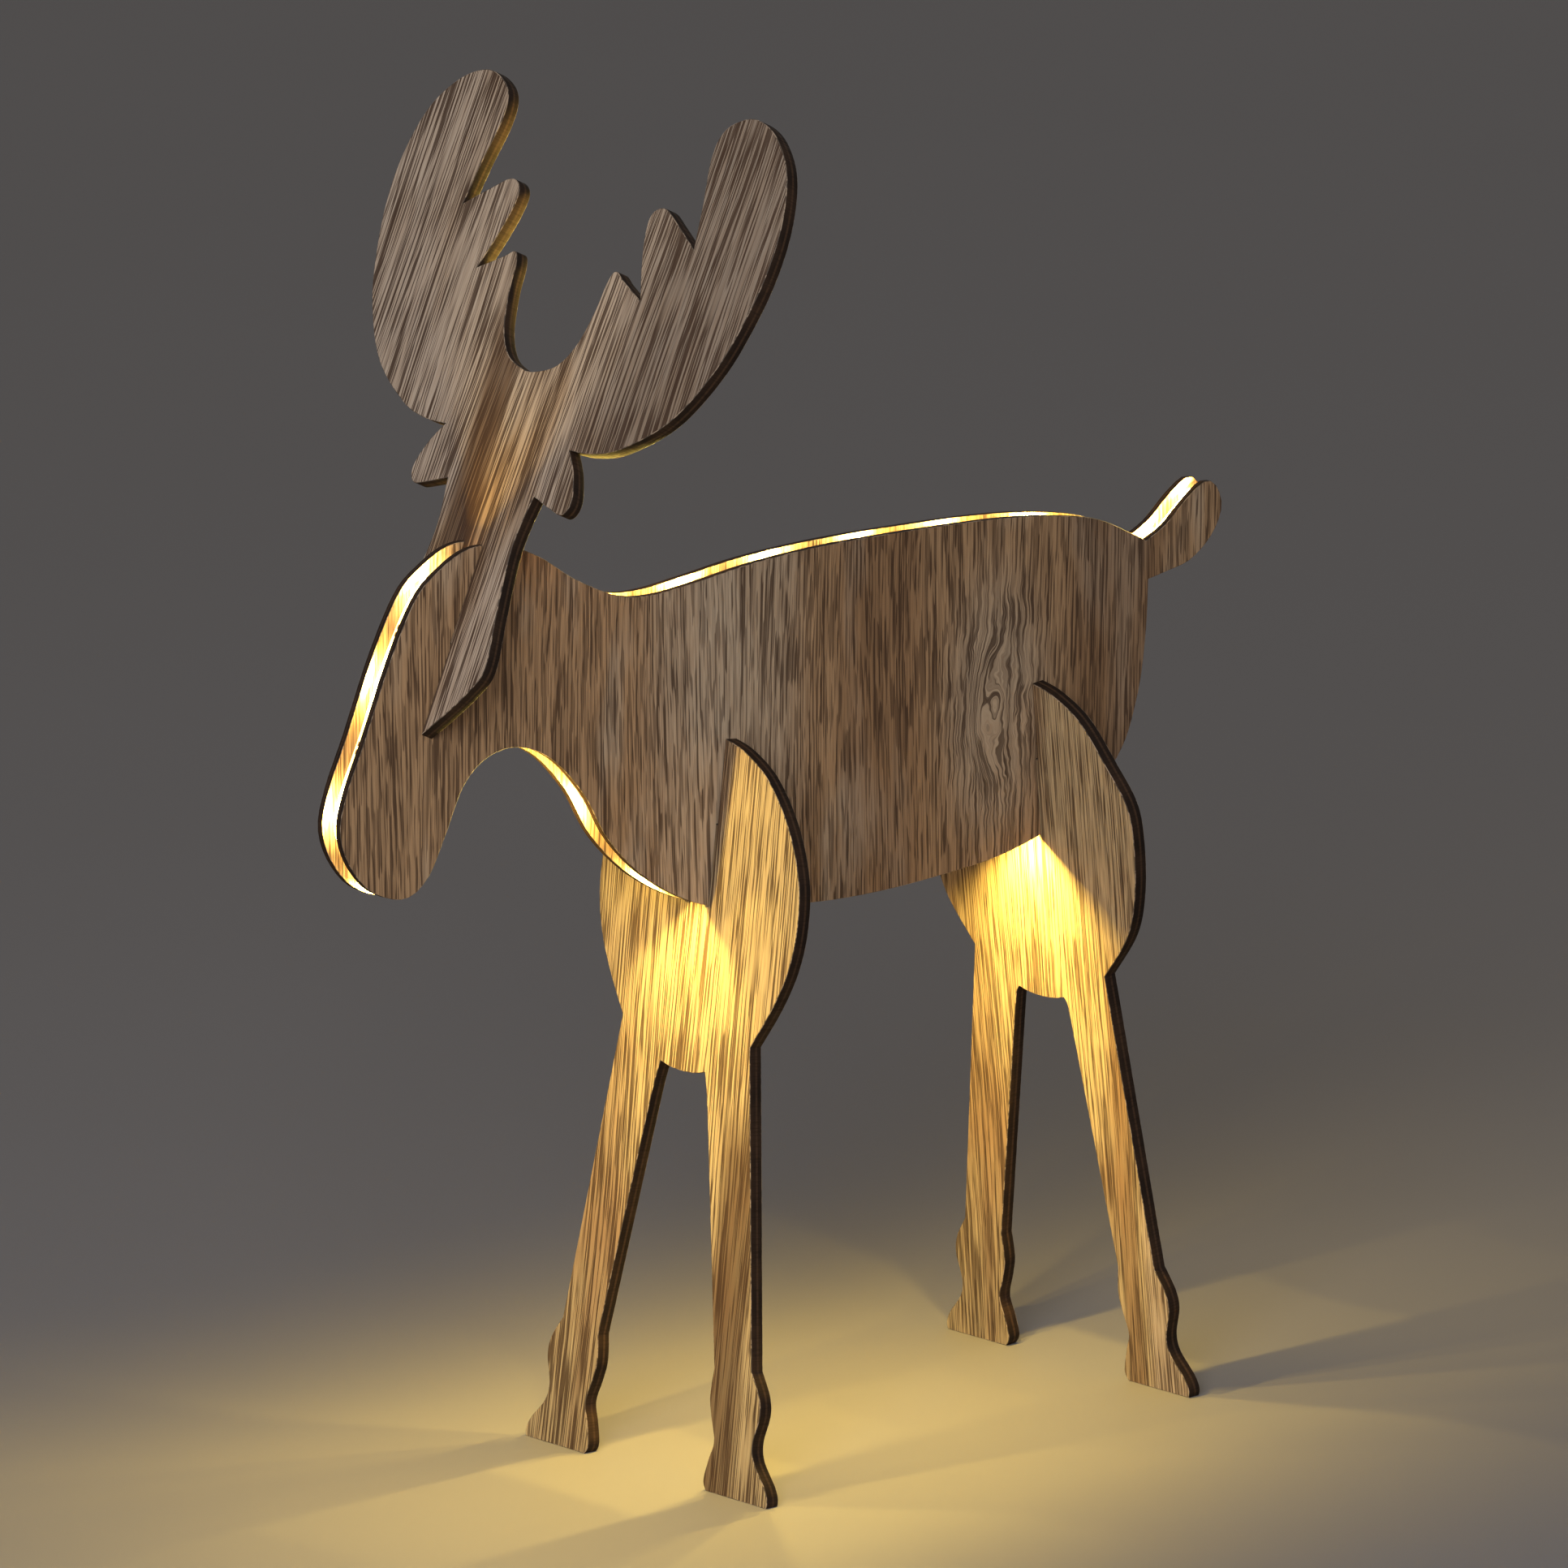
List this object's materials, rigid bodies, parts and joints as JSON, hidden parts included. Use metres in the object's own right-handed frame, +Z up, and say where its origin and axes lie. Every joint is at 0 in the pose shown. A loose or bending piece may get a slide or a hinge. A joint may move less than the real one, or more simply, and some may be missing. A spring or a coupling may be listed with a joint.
{
  "type": "light up yard reindeer",
  "caption": "Standing reindeer of slotted wood panels with warm LED light shining from a channel around the edge of its body.",
  "frame": {"origin": "on the ground, midway between the tip of the nose and the tip of the tail, on the symmetry plane", "axes": "+Z up; the nose points to -Y; +X is the animal's left, and the battery box is on its right, facing -X"},
  "size_m": [0.2374, 0.5124, 0.6001],
  "materials": {
    "pale_wood": "light oak face with open dark grain, matt",
    "brown_wood": "mid brown oak face, matt",
    "core_board": "raw fibreboard",
    "led_strip": "lit warm white",
    "wire": "matt",
    "black_plastic": "fine textured",
    "seal_rubber": "matt",
    "steel": "nickel plated",
    "circuit_board": "solder mask",
    "cell_sleeve": "printed sleeve, plain"
  },
  "bodies": {
    "body": {"left_body_panel": "brown_wood", "right_body_panel": "brown_wood", "body_core": "core_board", "battery_box": "black_plastic", "door_seal": "seal_rubber", "control_board": "circuit_board", "switch_body": "steel", "contact_spring_1": "steel", "contact_spring_2": "steel", "contact_spring_3": "steel", "contact_plate_1": "steel", "box_screw_1": "steel", "contact_plate_2": "steel", "box_screw_2": "steel", "contact_plate_3": "steel", "box_screw_3": "steel", "contact_plate_4": "steel", "box_screw_4": "steel", "head_led_strip": "led_strip", "chest_led_strip": "led_strip", "belly_led_strip": "led_strip", "rump_led_strip": "led_strip", "tail_led_strip": "led_strip", "back_led_strip": "led_strip", "back_feed_wire": "wire", "belly_feed_wire": "wire", "chest_jumper_wire": "wire", "rump_jumper_wire": "wire", "head_jumper_wire": "wire", "tail_jumper_wire": "wire"},
    "door": {"battery_door": "black_plastic"},
    "door_screw": {"door_screw": "steel"},
    "switch_knob": {"switch_knob": "black_plastic"},
    "antlers": {"antler_panel": "pale_wood"},
    "front_legs": {"front_leg_panel": "pale_wood"},
    "rear_legs": {"rear_leg_panel": "pale_wood"},
    "cell_1": {"battery_cell_1": "cell_sleeve"},
    "cell_2": {"battery_cell_2": "cell_sleeve"},
    "cell_3": {"battery_cell_3": "cell_sleeve"}
  },
  "joints": [
    {"name": "antler_lift", "type": "slide", "parent": "body", "child": "antlers", "axis": [0, 0.4248, 0.9053], "range_m": [0, 0.085]},
    {"name": "front_legs_drop", "type": "slide", "parent": "body", "child": "front_legs", "axis": [0, -0.1276, -0.9918], "range_m": [0, 0.085]},
    {"name": "rear_legs_drop", "type": "slide", "parent": "body", "child": "rear_legs", "axis": [0, 0.0976, -0.9952], "range_m": [0, 0.085]},
    {"name": "door_lift", "type": "slide", "parent": "body", "child": "door", "axis": [-1, 0, 0], "range_m": [0, 0.06]},
    {"name": "door_screw_turn", "type": "hinge", "parent": "door", "child": "door_screw", "pos_m": [-0.0142, 0.07576, 0.316], "axis": [-1, 0, 0], "continuous": true},
    {"name": "switch_slide", "type": "slide", "parent": "body", "child": "switch_knob", "axis": [0, 0, 1], "range_m": [-0.002, 0.002]},
    {"name": "cell_1_lift", "type": "slide", "parent": "body", "child": "cell_1", "axis": [-1, 0, 0], "range_m": [0, 0.03]},
    {"name": "cell_2_lift", "type": "slide", "parent": "body", "child": "cell_2", "axis": [-1, 0, 0], "range_m": [0, 0.03]},
    {"name": "cell_3_lift", "type": "slide", "parent": "body", "child": "cell_3", "axis": [-1, 0, 0], "range_m": [0, 0.03]}
  ],
  "couplings": [
    {"joint": "cell_1_lift", "follows": "door_lift", "ratio": 0.5},
    {"joint": "cell_2_lift", "follows": "door_lift", "ratio": 0.5},
    {"joint": "cell_3_lift", "follows": "door_lift", "ratio": 0.5}
  ]
}
